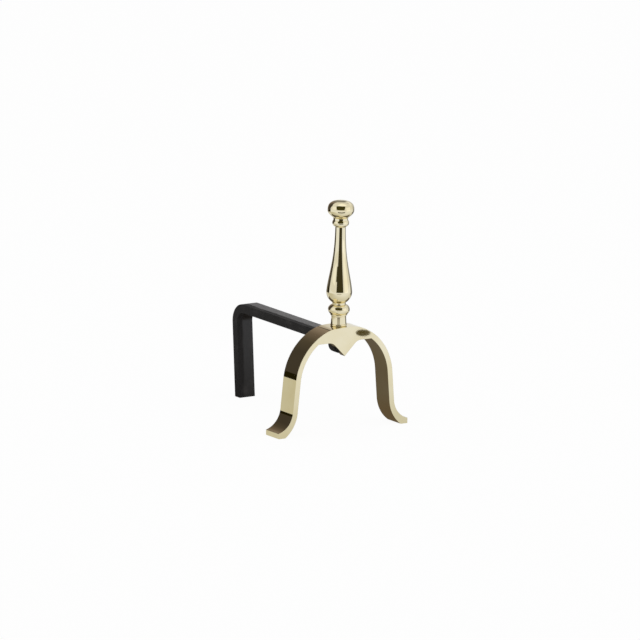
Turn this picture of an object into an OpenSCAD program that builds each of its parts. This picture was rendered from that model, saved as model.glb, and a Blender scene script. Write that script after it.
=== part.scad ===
// Andiron for an open hearth. A polished brass arch with a turned brass column stands in front.
// A flat iron log bar runs back from it and is bent down to a single rear leg.
// Millimetres. X runs across the hearth, -Y faces the room and +Z is up.
// The origin lies on the hearth, under the middle of the whole andiron.

/* [Overall] */
// Depth from the front face of the arch to the back of the bar's rear bend
overall_d = 261; // [235:1:420]
// Height of the top of the crown above the hearth
crown_z = 144.3; // [141:0.1:155]

/* [Arch] */
// Depth of the arch, front to back
arch_d = 32; // [30:1:40]
// Thickness of the cast band
band_t = 7.6; // [6.6:0.1:9]
// Outer radius of the nearly flat crown
crown_r = 268; // [240:1:300]
// Half of the angle that the crown's curve covers, in degrees
crown_half = 3.5; // [3:0.1:4]
// Outer radius of the shoulder on each side of the crown
shoulder_bend_r = 37.7; // [35:0.1:40]
// Slope of the band where each shoulder ends, in degrees
shoulder_bend_end = 18; // [16:0.5:20]
// Outer radius of each haunch
haunch_r = 76.9; // [75:0.1:78]
// Outward lean of each leg, in degrees
leg_splay = 5.2; // [4:0.1:6]
// Height at which each leg starts to flare into its foot
flare_z = 34.2; // [32:0.1:38]
// Radius of the hollow curve on top of each foot
foot_top_r = 30.5; // [28:0.5:31]
// Radius of the curve under each foot
foot_under_r = 46; // [43:0.5:48]
// Distance of each toe from the middle of the arch
foot_reach = 105; // [102:0.5:108]

/* [Apron] */
// Thickness of the pointed plate at the front of the crown
apron_t = 11; // [10:0.5:13]
// Height of the point
point_z = 104.6; // [103:0.1:108]
// Height of the level edge beside the point
scallop_z = 124.8; // [123:0.1:126]
// Radius between the point's slope and that edge
scallop_r = 14; // [8:0.5:20]

/* [Log bar] */
// Width of the flat iron
bar_w = 25; // [20:1:28]
// Thickness of the flat iron
bar_t = 12; // [10:0.5:12]
// Height of the bar's top face above the hearth
bar_z = 132; // [130:0.5:133]
// Outer radius of the rear bend
rear_bend_r = 26; // [20:1:34]
// Outer radius of the tight front bend
front_bend_r = 14; // [13:0.5:14]
// How far the turned-down front end reaches below the bar's top face
front_drop = 25.3; // [25:0.1:27]
// Slope of the rear leg, whose foot stands forward of its bend, in degrees
rear_rake = 5.5; // [0:0.5:8]

/* [Column] */
// Distance of the column's axis behind the front face of the arch
column_set = 17.2; // [17.2:0.1:18]
// Height of the base socket
base_h = 14; // [13:0.1:18]
// Height of the ring
ring_h = 19.4; // [18:0.1:20]
// Height of the stem
stem_h = 104.8; // [90:0.2:160]
// Height of the collar
collar_h = 12.4; // [11.5:0.1:14]
// Height of the knob
knob_h = 24; // [22:0.1:26]
// Greatest radius of the stem, at its shoulder
shoulder_r = 17.6; // [14:0.1:20]
// Greatest radius of the knob
knob_r = 18.2; // [15:0.1:19]

/* [Fixings] */
// Thread diameter of the tie rod
rod_d = 6; // [5:1:6]
// Thread diameter of the bar's screw
screw_d = 5; // [4:1:5]
// Length of the bar's screw under its head
screw_len = 20; // [18:1:21]

/* [Hidden] */
$fn = 96;
brass = [0.88, 0.81, 0.6];
iron = [0.14, 0.13, 0.13];
steel = [0.5, 0.5, 0.52];

// A point at radius r and angle a from a centre c.
function polar(c, r, a) = [c[0] + r * cos(a), c[1] + r * sin(a)];
// Points along a circle about c, from angle a0 to a1 in n steps. The first point can be left
// out where an edge already ends there.
function arc(c, r, a0, a1, n, first = 0) =
    [for (i = [first:n]) polar(c, r, a0 + (a1 - a0) * i / n)];

// The arch, drawn in the plane of X and Z.
front_y = -overall_d / 2;
crown_c = [0, crown_z - crown_r];
crown_end = polar(crown_c, crown_r, 90 - crown_half);
shoulder_bend_c = polar(crown_end, -shoulder_bend_r, 90 - crown_half);
shoulder_end = polar(shoulder_bend_c, shoulder_bend_r, 90 - shoulder_bend_end);
haunch_c = polar(shoulder_end, -haunch_r, 90 - shoulder_bend_end);
leg_top = polar(haunch_c, haunch_r, leg_splay);
leg_len = (leg_top[1] - flare_z) / cos(leg_splay);
flare_out = polar(leg_top, leg_len, leg_splay - 90);
flare_in = polar(flare_out, -band_t, leg_splay);
foot_top_c = polar(flare_out, foot_top_r, leg_splay);
foot_under_c = polar(flare_in, foot_under_r, leg_splay);
toe_angle = 180 + acos((foot_top_c[0] - foot_reach) / foot_top_r);
ground_angle = 180 + asin(foot_under_c[1] / foot_under_r);

// The apron's two slopes fall to the point at 45 degrees.
scallop_c = [scallop_z - point_z + scallop_r * tan(22.5), scallop_z - scallop_r];
apron_half = 44;

// The column and what holds it.
column_y = front_y + column_set;
spot_r = 10.7;
spot_z = crown_z - 1.1;
rod_r = rod_d / 2;
thread_gap = 0.05;
rod_bore_r = rod_r + 0.2;
rod_low_z = bar_z + 0.5;
rod_in_knob = 12;
ring_z = spot_z + base_h;
stem_z = ring_z + ring_h;
collar_z = stem_z + stem_h;
knob_z = collar_z + collar_h;
base_r = 10.3;
socket_top_r = 10.1;
neck_r = 9.2;
stem_top_r = 7.2;
top_neck_r = 10;
jam_nut_af = 10;
jam_nut_h = 3.2;
nut_room_r = jam_nut_af / 2 / cos(30) + 0.4;
nut_room_h = jam_nut_h + 1;

// The log bar, drawn in the plane of Y and Z.
lug_y = front_y + apron_t;
front_bend_c = [lug_y + front_bend_r, bar_z - front_bend_r];
rear_bend_c = [overall_d / 2 - rear_bend_r, bar_z - rear_bend_r];
lug_end_c = [0, bar_z - front_drop + bar_w / 2];
seat_w = bar_w + 6;
screw_r = screw_d / 2;
clear_r = screw_r + 0.25;
screw_z = lug_end_c[1] - 6;
screw_head_af = 8;
screw_head_h = 3.5;
washer_t = 1.2;
washer_r = 4.6;
washer_gap = 1;
screw_hole_deep = screw_len - bar_t - washer_t + 1.6;

// Stands a figure drawn in X and Z up as a plate of depth d behind the arch's front face.
module plate(d) {
    translate([0, front_y + d, 0]) rotate([90, 0, 0]) linear_extrude(d) children();
}

// A plain cylinder along Y from y0 to y1, at height z in the middle plane.
module rod_y(r, y0, y1, z) {
    translate([0, y1, z]) rotate([90, 0, 0]) cylinder(r = r, h = y1 - y0);
}

// A turned piece: a profile of radius and height, spun about the column's axis.
module turned(profile) {
    translate([0, column_y, 0]) rotate_extrude() polygon(profile);
}

// The rod's clearance bore through a turned piece.
module rod_bore(z, h) {
    translate([0, column_y, z - 1]) cylinder(r = rod_bore_r, h = h + 2);
}

// One face of the band at a depth below its outer face, from the crown to the top of the leg.
function band_face(depth) = concat(
    arc(crown_c, crown_r - depth, 90, 90 - crown_half, 4),
    arc(shoulder_bend_c, shoulder_bend_r - depth, 90 - crown_half, 90 - shoulder_bend_end, 6, 1),
    arc(haunch_c, haunch_r - depth, 90 - shoulder_bend_end, leg_splay, 28, 1));

// The right half of the band. The foot flares out to the toe and is ground flat underneath.
module half_band_2d() {
    inner = band_face(band_t);
    polygon(concat(band_face(0),
        arc(foot_top_c, foot_top_r, 180 + leg_splay, toe_angle, 20),
        [[foot_reach, 0]],
        arc(foot_under_c, foot_under_r, ground_angle, 180 + leg_splay, 16),
        [for (i = [len(inner) - 1:-1:0]) inner[i]]));
}

// The right half of the pointed apron. Its side and its top edge lie inside the band.
module half_apron_2d() {
    side_z = crown_z - 16;
    inside_z = crown_z - 4;
    polygon(concat([[0, point_z]],
        arc(scallop_c, scallop_r, 135, 90, 12),
        [[apron_half, scallop_z], [apron_half, side_z], [apron_half / 2, inside_z],
         [0, inside_z]]));
}

// Brass casting: arch, apron and the flat seat under the crown that the bar bears on.
module arch() {
    seat_top = crown_z - 5;
    color(brass) difference() {
        union() {
            for (side = [0, 1]) mirror([side, 0, 0]) {
                plate(arch_d) half_band_2d();
                plate(apron_t) half_apron_2d();
            }
            translate([-seat_w / 2, front_y, bar_z])
                cube([seat_w, arch_d, seat_top - bar_z]);
        }
        translate([0, column_y, bar_z - 1])
            cylinder(r = rod_r + thread_gap, h = crown_z - bar_z + 2);
        translate([0, column_y, spot_z]) cylinder(r = spot_r, h = 5);
        rod_y(screw_r + thread_gap, lug_y - screw_hole_deep, lug_y + 1, screw_z);
    }
}

// The side view of the bar: turned-down front end, level bar, rear bend and raked rear leg.
module bar_2d() {
    lug_low = lug_end_c[1] - bar_w;
    leg_out = polar(rear_bend_c, rear_bend_r, -rear_rake);
    leg_in = polar(rear_bend_c, rear_bend_r - bar_t, -rear_rake);
    polygon(concat([[lug_y, lug_low]],
        arc(front_bend_c, front_bend_r, 180, 90, 16),
        arc(rear_bend_c, rear_bend_r, 90, -rear_rake, 24),
        [[leg_out[0] - leg_out[1] * tan(rear_rake), 0],
         [leg_in[0] - leg_in[1] * tan(rear_rake), 0]],
        arc(rear_bend_c, rear_bend_r - bar_t, -rear_rake, 90, 24),
        arc(front_bend_c, front_bend_r - bar_t, 90, 180, 6),
        [[lug_y + bar_t, lug_low]]));
}

// Painted flat iron. Its front end is rounded and screwed to the back of the apron.
module log_bar() {
    color(iron) difference() {
        rotate([90, 0, 90]) translate([0, 0, -bar_w / 2]) linear_extrude(bar_w) bar_2d();
        translate([0, lug_y + bar_t + 1, 0]) rotate([90, 0, 0]) linear_extrude(bar_t + 2)
            difference() {
                translate([-bar_w, -1]) square([2 * bar_w, lug_end_c[1] + 1]);
                translate(lug_end_c) circle(bar_w / 2);
            }
        rod_y(clear_r, lug_y - 1, lug_y + bar_t + 1, screw_z);
    }
}

// Thin hexagon nut that locks the tie rod to the crown, hidden in the base socket.
module jam_nut() {
    color(steel) translate([0, column_y, spot_z]) difference() {
        cylinder(r = jam_nut_af / 2 / cos(30), h = jam_nut_h, $fn = 6);
        translate([0, 0, -1]) cylinder(r = rod_r + thread_gap, h = jam_nut_h + 2);
    }
}

// Threaded rod from the tapped crown up to the knob. It clamps the column together.
module tie_rod() {
    color(steel) translate([0, column_y, rod_low_z])
        cylinder(r = rod_r, h = knob_z + rod_in_knob - rod_low_z);
}

// Turned foot of the column, hollow underneath for the nut. It stands on a small bead.
module base_socket() {
    bead_r = 1.3;
    bead_c = [base_r - 0.3, spot_z + 2.3];
    body_r = 10.7;
    body_z = bead_c[1] + bead_r + 0.3;
    profile = concat([[0, spot_z], [base_r, spot_z]],
        arc(bead_c, bead_r, -76, 80, 12),
        [for (i = [0:8]) let (t = i / 8)
            [socket_top_r + (body_r - socket_top_r) * pow(1 - t, 1.3),
             body_z + t * (ring_z - body_z)]],
        [[0, ring_z]]);
    color(brass) difference() {
        turned(profile);
        rod_bore(spot_z, base_h);
        translate([0, column_y, spot_z - 1]) cylinder(r = nut_room_r, h = nut_room_h + 1);
    }
}

// Turned ring between the base socket and the stem, with a narrow lip under its bead.
module ring() {
    bead_r = 7.2;
    bead_c = [7.6, ring_z + ring_h * 0.49];
    bead_dip = 56;
    bead_low = polar(bead_c, bead_r, -bead_dip);
    lean = acos((neck_r - bead_c[0]) / bead_r);
    lip_r = 1.1;
    lip_end = 60;
    lip_c = [bead_low[0] - lip_r, bead_low[1] - lip_r * sin(lip_end)];
    profile = concat(
        [[0, ring_z], [socket_top_r, ring_z], [socket_top_r, lip_c[1] - lip_r - 0.2]],
        arc(lip_c, lip_r, -90, lip_end, 10),
        arc(bead_c, bead_r, -bead_dip, lean, 24),
        [[neck_r, stem_z], [0, stem_z]]);
    color(brass) difference() {
        turned(profile);
        rod_bore(ring_z, ring_h);
    }
}

// How far the stem has swelled towards its shoulder, at a share t of the way down to it.
function swell(t) = (pow(t, 1.65) + pow(sin(90 * pow(t, 1.63)), 2)) / 2;

// Turned stem: a round bulb with a crisp shoulder, drawn in to a slender top.
module stem() {
    low = asin(neck_r / shoulder_r) - 90;
    shoulder_z = stem_z - shoulder_r * sin(low);
    upper_h = collar_z - shoulder_z;
    profile = concat([[0, stem_z]],
        arc([0, shoulder_z], shoulder_r, low, 0, 16),
        [for (i = [1:28]) let (t = 1 - i / 28)
            [stem_top_r + (shoulder_r - stem_top_r) * swell(t), collar_z - t * upper_h]],
        [[0, collar_z]]);
    color(brass) difference() {
        turned(profile);
        rod_bore(stem_z, stem_h);
    }
}

// Turned collar between the stem and the knob.
module collar() {
    bead_r = 5.2;
    bead_c = [6.3, collar_z + collar_h * 0.46];
    bead_dip = 68;
    top_lean = acos((top_neck_r - bead_c[0]) / bead_r);
    profile = concat([[0, collar_z], [stem_top_r + 0.3, collar_z]],
        arc(bead_c, bead_r, -bead_dip, top_lean, 20),
        [[top_neck_r, knob_z], [0, knob_z]]);
    color(brass) difference() {
        turned(profile);
        rod_bore(collar_z, collar_h);
    }
}

// Turned knob, flattened on top and hollowed in to its neck below, with a blind tapped hole.
module knob() {
    under_h = knob_h * 0.455;
    top_h = knob_h - under_h;
    girth_z = knob_z + under_h;
    hollow = 0.65;
    flat = 2 / 2.6;
    profile = concat([[0, knob_z]],
        [for (i = [0:20]) let (t = i / 20)
            [top_neck_r + (knob_r - top_neck_r) * pow(sin(90 * pow(t, hollow)), 2),
             knob_z + t * under_h]],
        [for (i = [1:24]) let (a = 90 * i / 24)
            [knob_r * pow(max(cos(a), 0), flat), girth_z + top_h * pow(sin(a), flat)]]);
    color(brass) difference() {
        turned(profile);
        translate([0, column_y, knob_z - 1])
            cylinder(r = rod_r + thread_gap, h = rod_in_knob + 2);
    }
}

// Hexagon-head screw that goes through the bar's front end into the apron from behind.
module bar_screw() {
    head_y = lug_y + bar_t + washer_t;
    color(steel) union() {
        rod_y(screw_r, head_y - screw_len, head_y, screw_z);
        translate([0, head_y + screw_head_h, screw_z]) rotate([90, 0, 0])
            cylinder(r = screw_head_af / 2 / cos(30), h = screw_head_h, $fn = 6);
    }
}

// Split spring washer under the screw's head.
module spring_washer() {
    color(steel) difference() {
        rod_y(washer_r, lug_y + bar_t, lug_y + bar_t + washer_t, screw_z);
        rod_y(screw_r + 0.1, lug_y + bar_t - 1, lug_y + bar_t + washer_t + 1, screw_z);
        translate([-washer_gap / 2, lug_y + bar_t - 1, screw_z])
            cube([washer_gap, washer_t + 2, washer_r + 1]);
    }
}

arch();
log_bar();
jam_nut();
tie_rod();
base_socket();
ring();
stem();
collar();
knob();
bar_screw();
spring_washer();
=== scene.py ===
import math

import bmesh
import bpy
from mathutils import Matrix, Vector


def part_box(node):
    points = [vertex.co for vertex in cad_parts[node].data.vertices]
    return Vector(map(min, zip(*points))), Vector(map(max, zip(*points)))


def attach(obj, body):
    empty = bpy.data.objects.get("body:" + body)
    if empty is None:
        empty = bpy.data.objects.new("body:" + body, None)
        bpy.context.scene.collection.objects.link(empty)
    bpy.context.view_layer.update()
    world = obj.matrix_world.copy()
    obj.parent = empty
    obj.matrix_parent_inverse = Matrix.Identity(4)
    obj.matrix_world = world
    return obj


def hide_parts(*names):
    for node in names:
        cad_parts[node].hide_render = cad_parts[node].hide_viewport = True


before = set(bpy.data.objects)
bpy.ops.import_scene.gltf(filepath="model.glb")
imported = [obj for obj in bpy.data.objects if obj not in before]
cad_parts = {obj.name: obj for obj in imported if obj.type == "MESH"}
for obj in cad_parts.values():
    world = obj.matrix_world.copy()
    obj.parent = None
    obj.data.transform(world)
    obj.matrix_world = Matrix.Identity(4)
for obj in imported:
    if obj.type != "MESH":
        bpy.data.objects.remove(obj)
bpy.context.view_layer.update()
scene = bpy.context.scene
scene.view_settings.view_transform = "Standard"

millimetre = 0.001
white = (1.0, 1.0, 1.0)
stemLow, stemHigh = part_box("stem")
columnX = (stemLow.x + stemHigh.x) / 2
columnY = (stemLow.y + stemHigh.y) / 2
print("frame loaded")


class Value:
    # a socket that takes part in Python sums
    def __init__(self, book, socket):
        self.book = book
        self.socket = socket

    def combine(self, operation, first, second):
        return self.book.add("ShaderNodeMath", {"operation": operation}, {0: first, 1: second})

    def __add__(self, other):
        return self.combine("ADD", self, other)

    __radd__ = __add__

    def __sub__(self, other):
        return self.combine("SUBTRACT", self, other)

    def __rsub__(self, other):
        return self.combine("SUBTRACT", other, self)

    def __mul__(self, other):
        return self.combine("MULTIPLY", self, other)

    __rmul__ = __mul__


class NodeBook:
    # the nodes of one material or of the world, each made by add
    def __init__(self, tree):
        self.tree = tree
        tree.nodes.clear()

    def add(self, kind, settings=None, inputs=None, output=0):
        node = self.tree.nodes.new(kind)
        for name, setting in (settings or {}).items():
            if name == "stops":
                fillRamp(node.color_ramp, setting)
            else:
                setattr(node, name, setting)
        for key, value in (inputs or {}).items():
            if isinstance(value, Value):
                self.tree.links.new(value.socket, node.inputs[key])
            else:
                node.inputs[key].default_value = value
        return Value(self, node.outputs[output]) if node.outputs else None


def fillRamp(ramp, stops):
    while len(ramp.elements) < len(stops):
        ramp.elements.new(1.0)
    for element, (position, colour) in zip(ramp.elements, stops):
        element.position = position
        element.color = (*colour, 1)


def newMaterial(name):
    material = bpy.data.materials.new(name)
    material.use_nodes = True
    return material, NodeBook(material.node_tree)


def useMaterial(piece, material):
    piece.data.materials.clear()
    piece.data.materials.append(material)


def asColour(colour):
    return colour if isinstance(colour, Value) else (*colour, 1)


def mixColours(book, share, first, second):
    # 6, 7 and output 2 are the colour sockets of a Mix node
    return book.add(
        "ShaderNodeMix",
        {"data_type": "RGBA"},
        {0: share, 6: asColour(first), 7: asColour(second)},
        output=2,
    )


def clampStep(book, value, low, high):
    return book.add(
        "ShaderNodeMapRange",
        {"clamp": True, "interpolation_type": "SMOOTHSTEP"},
        {"Value": value, "From Min": low, "From Max": high},
    )


def objectPlace(book):
    return book.add("ShaderNodeTexCoord", output="Object")


def noise(book, place, size, detail, roughness=0.5):
    return book.add(
        "ShaderNodeTexNoise",
        inputs={"Vector": place, "Scale": size, "Detail": detail, "Roughness": roughness},
    )


def surfaceShader(book, look, tint, metallic, rough, relief):
    # relief is in millimetres
    bump = book.add(
        "ShaderNodeBump",
        inputs={"Strength": look["bumpStrength"], "Distance": millimetre, "Height": relief},
    )
    shader = book.add(
        "ShaderNodeBsdfPrincipled",
        inputs={"Base Color": tint, "Metallic": metallic, "Roughness": rough, "Normal": bump},
    )
    book.add("ShaderNodeOutputMaterial", inputs={"Surface": shader})


def roughnessFrom(look, pattern):
    return pattern * look["roughnessSpread"] + (look["roughness"] - look["roughnessSpread"] / 2)


brassLook = {
    "bright": (0.90, 0.82, 0.575),
    "deep": (0.86, 0.765, 0.50),
    "cloudSize": 26.0,
    "cloudDetail": 4.0,
    "cloudRoughness": 0.55,
    "deepFrom": 0.35,
    "deepTo": 0.7,
    "roughness": 0.035,
    "roughnessSpread": 0.03,
    "grainSize": 1400.0,
    "grainDepth": 0.003,
    "bumpStrength": 0.35,
}
castGrain = {
    "stretch": (1.0, 0.15, 0.35),
    "detail": 3.0,
    "waveSize": 38.0,
    "waveDetail": 1.0,
    "waveDepth": 0.04,
}
turnedGrain = {"stretch": (0.02, 0.02, 1.0), "detail": 2.0}  # fine rings from polishing as it spun


def brassMaterial(name, grainLook):
    material, book = newMaterial(name)
    place = objectPlace(book)
    cloud = noise(
        book, place, brassLook["cloudSize"], brassLook["cloudDetail"], brassLook["cloudRoughness"]
    )
    deepen = clampStep(book, cloud, brassLook["deepFrom"], brassLook["deepTo"])
    tint = mixColours(book, deepen, brassLook["bright"], brassLook["deep"])
    stretched = book.add(
        "ShaderNodeMapping", inputs={"Vector": place, "Scale": grainLook["stretch"]}
    )
    grain = noise(book, stretched, brassLook["grainSize"], grainLook["detail"])
    relief = grain * brassLook["grainDepth"]
    if "waveDepth" in grainLook:
        wave = noise(book, place, grainLook["waveSize"], grainLook["waveDetail"])
        relief = relief + wave * grainLook["waveDepth"]
    surfaceShader(book, brassLook, tint, 1.0, roughnessFrom(brassLook, cloud), relief)
    return material


ironLook = {
    "paint": (0.0082, 0.0069, 0.0073),
    "worn": (0.024, 0.021, 0.021),
    "wornFrom": 0.5,
    "wornTo": 0.8,
    "roughness": 0.36,
    "roughnessSpread": 0.12,
    "skinSize": 620.0,
    "skinDepth": 0.06,
    "dentSize": 45.0,
    "dentDepth": 0.25,
    "detail": 3.0,
    "bumpStrength": 0.4,
    "dullFrom": -2.5 * millimetre,
    "dullTo": -6.0 * millimetre,
    "dullWander": 5.0 * millimetre,
    "dullness": 0.44,
}


def ironMaterial():
    material, book = newMaterial("satinBlackIron")
    place = objectPlace(book)
    skin = noise(book, place, ironLook["skinSize"], ironLook["detail"])
    dent = noise(book, place, ironLook["dentSize"], ironLook["detail"])
    wear = clampStep(book, dent, ironLook["wornFrom"], ironLook["wornTo"])
    tint = mixColours(book, wear, ironLook["paint"], ironLook["worn"])
    # the paint is duller along the bar's left edge and side, with a wandering border
    across = book.add("ShaderNodeSeparateXYZ", inputs={0: place}, output="X")
    border = across + (dent - 0.5) * ironLook["dullWander"]
    dull = 1 - clampStep(book, border, ironLook["dullTo"], ironLook["dullFrom"])
    rough = roughnessFrom(ironLook, dent) + dull * ironLook["dullness"]
    relief = skin * ironLook["skinDepth"] + dent * ironLook["dentDepth"]
    surfaceShader(book, ironLook, tint, 0.0, rough, relief)
    return material


steelLook = {
    "grey": (0.42, 0.42, 0.44),
    "pale": (0.58, 0.58, 0.60),
    "roughness": 0.35,
    "roughnessSpread": 0.2,
    "spangleSize": 900.0,
    "spangleDetail": 3.0,
    "spangleDepth": 0.05,
    "bumpStrength": 0.2,
}


def steelMaterial():
    material, book = newMaterial("zincedSteel")
    spangle = noise(
        book, objectPlace(book), steelLook["spangleSize"], steelLook["spangleDetail"]
    )
    tint = mixColours(book, spangle, steelLook["grey"], steelLook["pale"])
    relief = spangle * steelLook["spangleDepth"]
    surfaceShader(book, steelLook, tint, 1.0, roughnessFrom(steelLook, spangle), relief)
    return material


castBrass = brassMaterial("polishedCastBrass", castGrain)
turnedBrass = brassMaterial("polishedTurnedBrass", turnedGrain)
blackIron = ironMaterial()
steel = steelMaterial()
print("materials ready")


def finishPiece(name, bm, node, material):
    mesh = bpy.data.meshes.new(name)
    bm.to_mesh(mesh)
    bm.free()
    for face in mesh.polygons:
        face.use_smooth = True
    piece = bpy.data.objects.new(name, mesh)
    scene.collection.objects.link(piece)
    useMaterial(piece, material)
    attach(piece, "root")
    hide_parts(node)
    return piece


cadCopy = {"weld": 0.002, "flatWithin": 0.4}  # millimetres, degrees


def mergedCopy(node):
    bm = bmesh.new()
    bm.from_mesh(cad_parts[node].data)
    bmesh.ops.remove_doubles(bm, verts=bm.verts, dist=cadCopy["weld"] * millimetre)
    bmesh.ops.dissolve_limit(
        bm,
        angle_limit=math.radians(cadCopy["flatWithin"]),
        verts=bm.verts,
        edges=bm.edges,
        delimit=set(),
    )
    return bm


def softenEdges(bm, look, keep):
    edges = [
        edge
        for edge in bm.edges
        if len(edge.link_faces) == 2
        and edge.is_convex
        and edge.calc_face_angle() > math.radians(look["sharperThan"])
        and keep(edge)
    ]
    bmesh.ops.bevel(
        bm,
        geom=edges,
        offset=look["softness"] * millimetre,
        offset_type="OFFSET",
        affect="EDGES",
        segments=look["segments"],
        profile=0.5,
        material=-1,
        clamp_overlap=True,
    )


def weightNormals(piece):
    modifier = piece.modifiers.new("evenShading", "WEIGHTED_NORMAL")
    modifier.weight = 100  # the large flat faces lead the shading
    modifier.keep_sharp = True


# millimetres and degrees
arch = {
    "softness": 1.3,
    "segments": 4,
    "sharperThan": 38,
    "crispAround": 14,  # from the column's axis
    "crispAbove": 100,  # from the hearth
}


def awayFromColumn(edge):
    # the edges of the column's seat and of the screw's hole stay crisp
    middle = (edge.verts[0].co + edge.verts[1].co) / 2
    sideways = math.hypot(middle.x - columnX, middle.y - columnY)
    return (
        sideways > arch["crispAround"] * millimetre or middle.z < arch["crispAbove"] * millimetre
    )


def buildArch():
    bm = mergedCopy("arch")
    softenEdges(bm, arch, awayFromColumn)
    weightNormals(finishPiece("brassArch", bm, "arch", castBrass))


logBar = {"softness": 2.4, "segments": 4, "sharperThan": 38}


def buildBar():
    bm = mergedCopy("log_bar")
    softenEdges(bm, logBar, lambda edge: True)
    weightNormals(finishPiece("ironLogBar", bm, "log_bar", blackIron))


buildArch()
buildBar()
print("arch and log bar built")


# millimetres, shared by neighbouring pieces of the column
column = {
    "bore": 3.2,
    "socketTop": 10.1,
    "neck": 9.2,
    "stemTop": 7.2,
    "topNeck": 10.0,
    "edgeBreak": 0.2,
    "weld": 0.001,
    "turnSteps": 128,
    "crispAngle": 35,
}


def heightOf(node):
    low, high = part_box(node)
    return (high.z - low.z) / millimetre


def arcPoints(out, up, radius, start, end, steps):
    angles = [math.radians(start + (end - start) * step / steps) for step in range(steps + 1)]
    return [
        (out + radius * math.cos(angle), up + radius * math.sin(angle)) for angle in angles
    ]


def brokenTop(radius, high):
    return [
        (radius, high - column["edgeBreak"]),
        (radius - column["edgeBreak"], high),
        (column["bore"], high),
    ]


def turnPiece(name, node, profile):
    # profile: radius and height above the piece's foot, in millimetres
    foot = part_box(node)[0].z
    bm = bmesh.new()
    verts = [
        bm.verts.new((radius * millimetre, 0, foot + height * millimetre))
        for radius, height in profile
    ]
    edges = [bm.edges.new(pair) for pair in zip(verts, verts[1:])]
    if profile[0][0] > 0:
        edges.append(bm.edges.new((verts[-1], verts[0])))  # a bored piece is closed along its bore
    bmesh.ops.spin(
        bm,
        geom=verts + edges,
        cent=(0, 0, 0),
        axis=(0, 0, 1),
        angle=math.tau,
        steps=column["turnSteps"],
        use_merge=True,
    )
    bmesh.ops.remove_doubles(bm, verts=bm.verts, dist=column["weld"] * millimetre)
    bmesh.ops.recalc_face_normals(bm, faces=bm.faces)
    bmesh.ops.translate(bm, verts=bm.verts, vec=(columnX, columnY, 0))
    piece = finishPiece(name, bm, node, turnedBrass)
    piece.data.set_sharp_from_angle(angle=math.radians(column["crispAngle"]))


base = {
    "foot": 10.3,
    "bead": 1.3,
    "beadInset": 0.3,
    "beadUp": 2.3,
    "beadFrom": -76,
    "beadTo": 80,
    "beadSteps": 20,
    "body": 10.7,
    "bodyGap": 0.3,
    "bodyCurve": 1.3,
    "bodySteps": 20,
    "nutRoom": 6.17,
    "nutRoomHigh": 4.2,
}


def baseProfile():
    high = heightOf("base_socket")
    beadOut = base["foot"] - base["beadInset"]
    bodyUp = base["beadUp"] + base["bead"] + base["bodyGap"]
    taper = base["body"] - column["socketTop"]
    shares = [step / base["bodySteps"] for step in range(base["bodySteps"])]
    return [
        (base["nutRoom"], 0),
        (base["foot"], 0),
        *arcPoints(
            beadOut,
            base["beadUp"],
            base["bead"],
            base["beadFrom"],
            base["beadTo"],
            base["beadSteps"],
        ),
        *(
            (
                column["socketTop"] + taper * (1 - share) ** base["bodyCurve"],
                bodyUp + share * (high - bodyUp),
            )
            for share in shares
        ),
        *brokenTop(column["socketTop"], high),
        (column["bore"], base["nutRoomHigh"]),
        (base["nutRoom"], base["nutRoomHigh"]),
    ]


ring = {
    "bead": 7.2,
    "beadOut": 7.6,
    "beadUp": 0.49,  # share of the ring's height
    "beadDip": 56,
    "beadSteps": 40,
    "lip": 1.1,
    "lipEnd": 60,
    "lipSteps": 14,
    "lipGap": 0.2,
}


def ringProfile():
    high = heightOf("ring")
    bead, out, lip = ring["bead"], ring["beadOut"], ring["lip"]
    middle = high * ring["beadUp"]
    dip = math.radians(ring["beadDip"])
    lean = math.degrees(math.acos((column["neck"] - out) / bead))
    lipOut = out + bead * math.cos(dip) - lip
    lipUp = middle - bead * math.sin(dip) - lip * math.sin(math.radians(ring["lipEnd"]))
    return [
        (column["bore"], 0),
        (column["socketTop"] - column["edgeBreak"], 0),
        (column["socketTop"], column["edgeBreak"]),
        (column["socketTop"], lipUp - lip - ring["lipGap"]),
        *arcPoints(lipOut, lipUp, lip, -90, ring["lipEnd"], ring["lipSteps"]),
        *arcPoints(out, middle, bead, -ring["beadDip"], lean, ring["beadSteps"]),
        *brokenTop(column["neck"], high),
    ]


stem = {
    "shoulder": 17.6,
    "shoulderSteps": 32,
    "taperSteps": 60,
    "swellLong": 1.65,
    "swellRound": 1.63,
}


def stemProfile():
    high = heightOf("stem")
    shoulder = stem["shoulder"]
    low = math.asin(column["neck"] / shoulder) - math.pi / 2
    shoulderUp = -shoulder * math.sin(low)
    taper = []
    for step in range(1, stem["taperSteps"] + 1):
        down = 1 - step / stem["taperSteps"]  # share of the way from the top to the shoulder
        rounded = math.sin(math.pi / 2 * down ** stem["swellRound"]) ** 2
        swell = (down ** stem["swellLong"] + rounded) / 2
        radius = column["stemTop"] + (shoulder - column["stemTop"]) * swell
        taper.append((radius, high - down * (high - shoulderUp)))
    return [
        (column["bore"], 0),
        *arcPoints(0, shoulderUp, shoulder, math.degrees(low), 0, stem["shoulderSteps"]),
        *taper,
        (column["bore"], high),
    ]


collar = {
    "bead": 5.2,
    "beadOut": 6.3,
    "beadUp": 0.46,  # share of the collar's height
    "beadDip": 68,
    "beadSteps": 32,
    "footProud": 0.3,
}


def collarProfile():
    high = heightOf("collar")
    bead, out = collar["bead"], collar["beadOut"]
    middle = high * collar["beadUp"]
    lean = math.degrees(math.acos((column["topNeck"] - out) / bead))
    return [
        (column["bore"], 0),
        (column["stemTop"] + collar["footProud"], 0),
        *arcPoints(out, middle, bead, -collar["beadDip"], lean, collar["beadSteps"]),
        *brokenTop(column["topNeck"], high),
    ]


knob = {
    "girth": 18.2,
    "girthUp": 0.455,  # share of the knob's height
    "hollow": 0.65,
    "underSteps": 36,
    "squareness": 2.6,
    "crownSteps": 48,
    "bore": 3.05,
    "boreHigh": 12.0,
}


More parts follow.
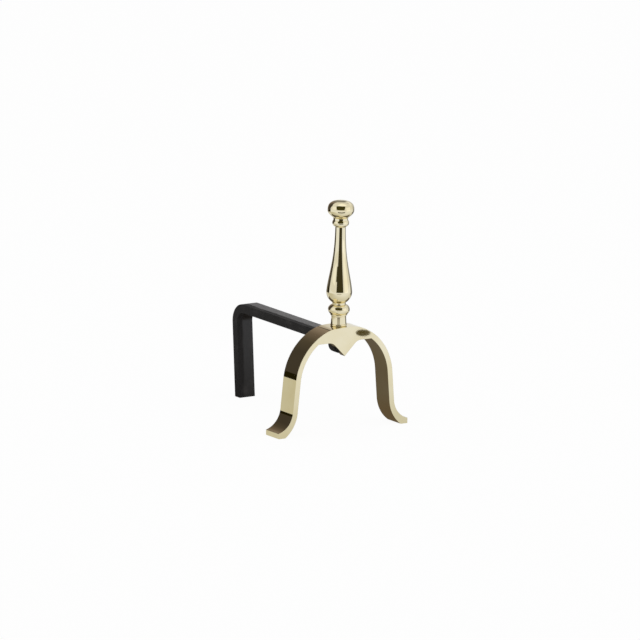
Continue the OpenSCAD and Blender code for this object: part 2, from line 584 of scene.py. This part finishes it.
def knobProfile():
    high = heightOf("knob")
    girthUp = high * knob["girthUp"]
    crownHigh = high - girthUp
    spread = knob["girth"] - column["topNeck"]
    flat = 2 / knob["squareness"]
    under = []
    for step in range(1, knob["underSteps"] + 1):
        share = step / knob["underSteps"]
        bulge = math.sin(math.pi / 2 * share ** knob["hollow"]) ** 2
        under.append((column["topNeck"] + spread * bulge, share * girthUp))
    crown = []
    for step in range(1, knob["crownSteps"]):
        angle = math.radians(90 * step / knob["crownSteps"])
        radius = knob["girth"] * math.cos(angle) ** flat
        crown.append((radius, girthUp + crownHigh * math.sin(angle) ** flat))
    return [
        (0, knob["boreHigh"]),
        (knob["bore"], knob["boreHigh"]),
        (knob["bore"], 0),
        (column["topNeck"] - column["edgeBreak"], 0),
        (column["topNeck"], column["edgeBreak"]),
        *under,
        *crown,
        (0, high),
    ]


turnPiece("columnBase", "base_socket", baseProfile())
turnPiece("columnRing", "ring", ringProfile())
turnPiece("columnStem", "stem", stemProfile())
turnPiece("columnCollar", "collar", collarProfile())
turnPiece("columnKnob", "knob", knobProfile())
print("column turned")


screw = {
    "acrossFlats": 8.0,
    "head": 3.5,
    "chamfer": 0.6,
    "chamferSegments": 2,
    "shankRadius": 2.5,
    "shankSegments": 48,
    "crispAngle": 25,
}


def addPrism(bm, segments, radius, length):
    made = bmesh.ops.create_cone(
        bm, cap_ends=True, segments=segments, radius1=radius, radius2=radius, depth=length
    )
    return made["verts"]


def layAlongBar(bm, verts, middle):
    turn = Matrix.Rotation(math.radians(-90), 3, "X")
    bmesh.ops.rotate(bm, verts=verts, cent=(0, 0, 0), matrix=turn)
    bmesh.ops.translate(bm, verts=verts, vec=middle)


def buildScrew():
    low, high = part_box("bar_screw")
    centre = (low + high) / 2
    headLength = screw["head"] * millimetre
    shankLength = high.y - low.y - headLength
    bm = bmesh.new()
    corner = screw["acrossFlats"] / 2 / math.cos(math.pi / 6) * millimetre
    addPrism(bm, 6, corner, headLength)
    bmesh.ops.bevel(
        bm,
        geom=[edge for edge in bm.edges if all(vert.co.z > 0 for vert in edge.verts)],
        offset=screw["chamfer"] * millimetre,
        affect="EDGES",
        segments=screw["chamferSegments"],
        profile=0.5,
        material=-1,
    )
    layAlongBar(bm, bm.verts, (centre.x, high.y - headLength / 2, centre.z))
    shank = addPrism(bm, screw["shankSegments"], screw["shankRadius"] * millimetre, shankLength)
    layAlongBar(bm, shank, (centre.x, low.y + shankLength / 2, centre.z))
    piece = finishPiece("hexScrew", bm, "bar_screw", steel)
    piece.data.set_sharp_from_angle(angle=math.radians(screw["crispAngle"]))


buildScrew()
for node in ("jam_nut", "tie_rod", "spring_washer"):
    useMaterial(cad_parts[node], steel)
print("fixings built")


studio = {
    "world": 0.80,
    "floorSize": 14.0,
    "floorColour": (0.95, 0.95, 0.95),
    "floorRoughness": 0.5,
    "floorKeep": 0.06,  # how much of the lit floor the camera sees under plain white
    "floorFront": (0.87, 0.89, 0.95),  # what polished metal sees of the floor
    "floorBehind": (0.60, 0.585, 0.50),
    "floorFrontEdge": -0.56,
    "floorBehindEdge": 0.10,
    "behindWhole": 0.85,  # metres from the middle, where the tone behind starts to fade
    "behindGone": 1.3,
}


def emission(book, colour):
    return book.add("ShaderNodeEmission", inputs={"Color": asColour(colour)})


def backdrop(book, strength):
    return book.add(
        "ShaderNodeBackground", inputs={"Color": asColour(white), "Strength": strength}
    )


def buildWorld():
    world = bpy.data.worlds.new("paleStudio")
    scene.world = world
    world.use_nodes = True
    book = NodeBook(world.node_tree)
    seen = book.add("ShaderNodeLightPath", output="Is Camera Ray")
    lit, shown = backdrop(book, studio["world"]), backdrop(book, 1.0)
    both = book.add("ShaderNodeMixShader", inputs={0: seen, 1: lit, 2: shown})
    book.add("ShaderNodeOutputWorld", inputs={"Surface": both})


def stageObject(name, bm, material):
    mesh = bpy.data.meshes.new(name)
    bm.to_mesh(mesh)
    bm.free()
    thing = bpy.data.objects.new(name, mesh)
    scene.collection.objects.link(thing)
    useMaterial(thing, material)
    return thing


def floorMaterial():
    material, book = newMaterial("paleFloor")
    camera = book.add("ShaderNodeLightPath", output="Is Camera Ray")
    glossy = book.add("ShaderNodeLightPath", output="Is Glossy Ray")
    lit = book.add(
        "ShaderNodeBsdfDiffuse",
        inputs={"Color": asColour(studio["floorColour"]), "Roughness": studio["floorRoughness"]},
    )
    place = objectPlace(book)
    depth = book.add("ShaderNodeSeparateXYZ", inputs={0: place}, output="Y")
    reach = book.add("ShaderNodeVectorMath", {"operation": "LENGTH"}, {0: place}, output="Value")
    behind = clampStep(book, depth, studio["floorFrontEdge"], studio["floorBehindEdge"])
    faded = clampStep(book, reach, studio["behindWhole"], studio["behindGone"])
    # glossy rays see a painted reflection tone instead of the lit floor, paler in front and darker
    # behind the andiron out to about a metre
    sheen = mixColours(
        book, behind * (1 - faded), studio["floorFront"], studio["floorBehind"]
    )
    seen = book.add(
        "ShaderNodeMixShader",
        inputs={0: camera * (1 - studio["floorKeep"]), 1: lit, 2: emission(book, white)},
    )
    whole = book.add("ShaderNodeMixShader", inputs={0: glossy, 1: seen, 2: emission(book, sheen)})
    book.add("ShaderNodeOutputMaterial", inputs={"Surface": whole})
    return material


def buildFloor():
    bm = bmesh.new()
    bmesh.ops.create_grid(bm, x_segments=4, y_segments=4, size=studio["floorSize"] / 2)
    stageObject("floor", bm, floorMaterial())


def flatSheet(corners):
    bm = bmesh.new()
    bm.faces.new([bm.verts.new(corner) for corner in corners])
    return bm


def ovalSheet(centre, wide, high, tilt):
    bm = bmesh.new()
    bmesh.ops.create_circle(bm, cap_ends=True, segments=32, radius=1)
    bmesh.ops.scale(bm, verts=bm.verts, vec=(wide / 2, high / 2, 1))
    upright = Matrix.Rotation(math.radians(90), 3, "X")
    turn = upright @ Matrix.Rotation(math.radians(tilt), 3, "Z")
    bmesh.ops.rotate(bm, verts=bm.verts, cent=(0, 0, 0), matrix=turn)
    bmesh.ops.translate(bm, verts=bm.verts, vec=centre)
    return bm


def buildCard(name, bm, stops, axis=0, skirt=None):
    # a sheet that shows only as a reflection, coloured by stops along one axis
    low = min(vert.co[axis] for vert in bm.verts)
    high = max(vert.co[axis] for vert in bm.verts)
    material, book = newMaterial(name + "Paper")
    place = objectPlace(book)
    along = book.add("ShaderNodeSeparateXYZ", inputs={0: place}, output=axis)
    share = book.add(
        "ShaderNodeMapRange", {"clamp": True}, {"Value": along, "From Min": low, "From Max": high}
    )
    tone = book.add(
        "ShaderNodeValToRGB",
        {"stops": [((at - low) / (high - low), colour) for at, colour in stops]},
        {0: share},
    )
    if skirt:
        up = book.add("ShaderNodeSeparateXYZ", inputs={0: place}, output="Z")
        above = clampStep(book, up, skirt["from"], skirt["to"])
        tone = mixColours(book, above, skirt["colour"], tone)
    book.add("ShaderNodeOutputMaterial", inputs={"Surface": emission(book, tone)})
    card = stageObject(name, bm, material)
    card.visible_camera = False
    card.visible_diffuse = False
    card.visible_shadow = False
    card.visible_transmission = False


def standingCard(name, azimuths, away, heights, stops, flare=1.0):
    # upright sheet, seen from the column between two azimuths (0 is the room side, 90 is +X)
    middle = math.radians(sum(azimuths) / 2)
    half = math.radians(abs(azimuths[1] - azimuths[0]) / 2)
    outward = Vector((math.sin(middle), -math.cos(middle), 0))
    along = Vector((math.cos(middle), math.sin(middle), 0)) * away * math.tan(half)
    foot = Vector((columnX, columnY, heights[0])) + outward * away
    top = Vector((columnX, columnY, heights[1])) + outward * away
    corners = [foot - along, foot + along, top + along * flare, top - along * flare]
    buildCard(name, flatSheet(corners), stops, axis=2)


# metres and degrees; stops are height and colour
standingCards = {
    "nearDarkCard": {
        "azimuths": (-58, 2),
        "away": 0.21,
        "heights": (0.19, 0.262),
        "stops": [(0.19, (0.045, 0.040, 0.014)), (0.262, (0.045, 0.038, 0.020))],
    },
    "highDarkCard": {
        "azimuths": (-68, -3),
        "away": 1.0,
        "heights": (0.36, 2.7),
        "stops": [(0.36, (0.060, 0.054, 0.014)), (2.7, (0.045, 0.038, 0.012))],
        "flare": 2.4,
    },
    "lowDarkCard": {
        "azimuths": (-54, -14),
        "away": 0.21,
        "heights": (0.122, 0.152),
        "stops": [(0.122, (0.07, 0.055, 0.040)), (0.152, white)],
    },
    "rightRimCard": {
        "azimuths": (88, 139),
        "away": 0.5,
        "heights": (0.0, 0.70),
        "stops": [(0.0, (0.06, 0.055, 0.05)), (0.70, white)],
    },
    "upperRimCard": {
        "azimuths": (110, 160),
        "away": 0.55,
        "heights": (0.45, 1.2),
        "stops": [(0.45, (0.06, 0.05, 0.045)), (1.2, white)],
    },
}

backY, backLeft, backRight, backHigh = 0.74, -0.90, 0.569, 1.21
backStep, backLow = -0.25, 0.16  # right of the step the foot of the back is a paler card
paleY, paleLeft, paleRight, paleLow, paleHigh = 0.45, 0.10, 0.37, 0.17, 0.28
floorCardZ = 0.0004  # just over the floor

# stops are X and colour, or Y and colour where axis is 1
flatCards = {
    "backCard": {
        "corners": [
            (backLeft, backY, 0),
            (backStep, backY, 0),
            (backStep, backY, backLow),
            (backRight, backY, backLow),
            (backRight, backY, backHigh),
            (backLeft, backY, backHigh),
        ],
        "stops": [
            (backLeft, (0.055, 0.046, 0.036)),
            (-0.44, (0.055, 0.046, 0.038)),
            (-0.18, (0.080, 0.066, 0.052)),
            (0.07, (0.15, 0.118, 0.098)),
            (0.30, (0.29, 0.235, 0.205)),
            (0.46, (0.55, 0.51, 0.48)),
            (backRight, (0.80, 0.79, 0.78)),
        ],
        "skirt": {"from": 0.130, "to": 0.140, "colour": (0.014, 0.011, 0.002)},
    },
    "lowBackCard": {
        "corners": [
            (backStep, backY, 0),
            (backRight, backY, 0),
            (backRight, backY, backLow),
            (backStep, backY, backLow),
        ],
        "stops": [
            (backStep, (0.13, 0.115, 0.095)),
            (0.15, (0.26, 0.24, 0.20)),
            (backRight, (0.20, 0.18, 0.16)),
        ],
    },
    "paleBackCard": {
        "corners": [
            (paleLeft, paleY, paleLow),
            (paleRight, paleY, paleLow),
            (paleRight, paleY, paleHigh),
            (paleLeft, paleY, paleHigh),
        ],
        "stops": [(paleLeft, (0.72, 0.71, 0.76)), (paleRight, white)],
    },
    # the next two cards lie just over the floor and show only in reflections, as painted dark
    # reflections of the floor
    "floorReflectionCard": {
        "corners": [
            (-0.03, -0.129, floorCardZ),
            (0.30, -0.129, floorCardZ),
            (0.30, 0.20, floorCardZ),
            (-0.20, 0.20, floorCardZ),
        ],
        "stops": [
            (-0.129, (0.12, 0.085, 0.050)),
            (0.0, (0.13, 0.11, 0.085)),
            (0.20, (0.10, 0.08, 0.06)),
        ],
        "axis": 1,
    },
    "leftFloorReflectionCard": {
        "corners": [
            (-0.20, 0.20, floorCardZ),
            (0.0, 0.20, floorCardZ),
            (0.0, 0.73, floorCardZ),
            (-0.54, 0.73, floorCardZ),
        ],
        "stops": [(-0.54, (0.03, 0.025, 0.025)), (0.0, white)],
    },
}

# its reflection is the dark oval on the crown
frontSpot = {
    "centre": (0.1965, -0.3805, 0.0675),
    "wide": 0.0245,
    "high": 0.0095,
    "tilt": -8,
    "stops": [
        (0.184, (0.13, 0.11, 0.07)),
        (0.190, (0.085, 0.070, 0.028)),
        (0.209, (0.10, 0.085, 0.045)),
    ],
}

softboxes = {
    "leftSoftbox": {"azimuth": -92, "elevation": 24, "away": 1.9, "size": 1.2, "radiance": 0.16},
    "rightSoftbox": {"azimuth": 34, "elevation": 14, "away": 1.9, "size": 1.3, "radiance": 0.20},
    "topSoftbox": {"azimuth": 20, "elevation": 80, "away": 1.8, "size": 1.2, "radiance": 0.30},
}
softboxAim = Vector((0, 0, 0.15))


def outwardFrom(azimuth, elevation):
    flat = math.cos(elevation)
    return Vector((math.sin(azimuth) * flat, -math.cos(azimuth) * flat, math.sin(elevation)))


def buildSoftbox(name, azimuth, elevation, away, size, radiance):
    light = bpy.data.lights.new(name, "AREA")
    light.shape = "SQUARE"
    light.size = size
    light.energy = radiance * size * size * math.pi
    lamp = bpy.data.objects.new(name, light)
    scene.collection.objects.link(lamp)
    outward = outwardFrom(math.radians(azimuth), math.radians(elevation))
    lamp.location = softboxAim + outward * away
    lamp.rotation_euler = (-outward).to_track_quat("-Z", "Y").to_euler()


buildWorld()
buildFloor()
for name, card in standingCards.items():
    standingCard(name, **card)
for name, card in flatCards.items():
    sheet = flatSheet(card["corners"])
    buildCard(name, sheet, card["stops"], card.get("axis", 0), card.get("skirt"))
oval = ovalSheet(frontSpot["centre"], frontSpot["wide"], frontSpot["high"], frontSpot["tilt"])
buildCard("frontSpot", oval, frontSpot["stops"])
for name, box in softboxes.items():
    buildSoftbox(name, **box)

cameraLook = {
    "azimuth": -33.672956,
    "elevation": 12.397171,
    "roll": 1.18912,
    "distance": 19.03865,
    "pixelFocal": 14006.73,
    "pictureWide": 640,
    "sensorWide": 36.0,
    "near": 0.5,
    "far": 60.0,
    "targetX": -0.02129511,
    "targetBehindColumn": 0.013649,
    "targetZ": 0.1511275,
}


def buildCamera():
    data = bpy.data.cameras.new("photoCamera")
    data.sensor_width = cameraLook["sensorWide"]
    data.lens = cameraLook["pixelFocal"] / cameraLook["pictureWide"] * data.sensor_width
    data.clip_start = cameraLook["near"]
    data.clip_end = cameraLook["far"]
    camera = bpy.data.objects.new("photoCamera", data)
    scene.collection.objects.link(camera)
    azimuth, elevation, roll = (
        math.radians(cameraLook[key]) for key in ("azimuth", "elevation", "roll")
    )
    back = outwardFrom(azimuth, elevation)
    right = Vector((math.cos(azimuth), math.sin(azimuth), 0))
    up = back.cross(right)
    rolledRight = right * math.cos(roll) + up * math.sin(roll)
    rolledUp = up * math.cos(roll) - right * math.sin(roll)
    targetY = columnY + cameraLook["targetBehindColumn"]
    target = Vector((cameraLook["targetX"], targetY, cameraLook["targetZ"]))
    place = Matrix((rolledRight, rolledUp, back)).transposed().to_4x4()
    place.translation = target + back * cameraLook["distance"]
    camera.matrix_world = place
    scene.camera = camera


buildCamera()
print("studio set")
